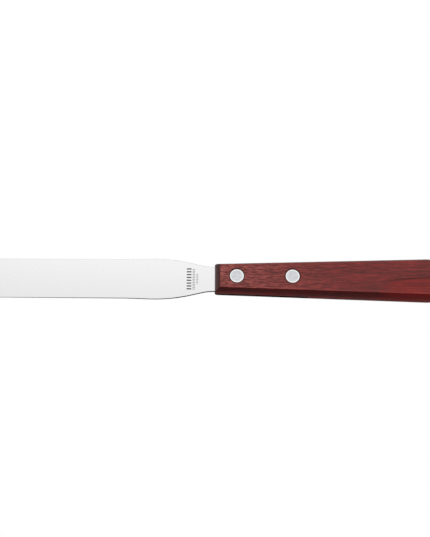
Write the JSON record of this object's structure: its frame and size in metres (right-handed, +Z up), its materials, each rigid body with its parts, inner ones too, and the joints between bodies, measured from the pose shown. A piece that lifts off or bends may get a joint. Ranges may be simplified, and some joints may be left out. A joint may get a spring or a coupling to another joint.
{
  "type": "palette knife",
  "caption": "Small straight palette knife: a parallel round-tipped flexible steel blade, its half tang riveted into the kerf of a flared wooden handle.",
  "frame": {"origin": "on the plane of the handle's underside, half way along the knife, which is the handle's front end, on the centre line", "axes": "+X from the blade's tip towards the handle's butt, +Z up out of the handle's upper flat, +Y across the blade"},
  "size_m": [0.218, 0.0208, 0.0111],
  "materials": {
    "blade_steel": "satin polished stainless steel",
    "handle_wood": "hardwood stained red-brown, thin satin lacquer",
    "rivet_metal": "satin, fine facing marks"
  },
  "bodies": {
    "root": {"blade": "blade_steel", "handle": "handle_wood", "front_rivet_socket": "rivet_metal", "front_rivet_stud": "rivet_metal", "rear_rivet_socket": "rivet_metal", "rear_rivet_stud": "rivet_metal"}
  },
  "joints": []
}
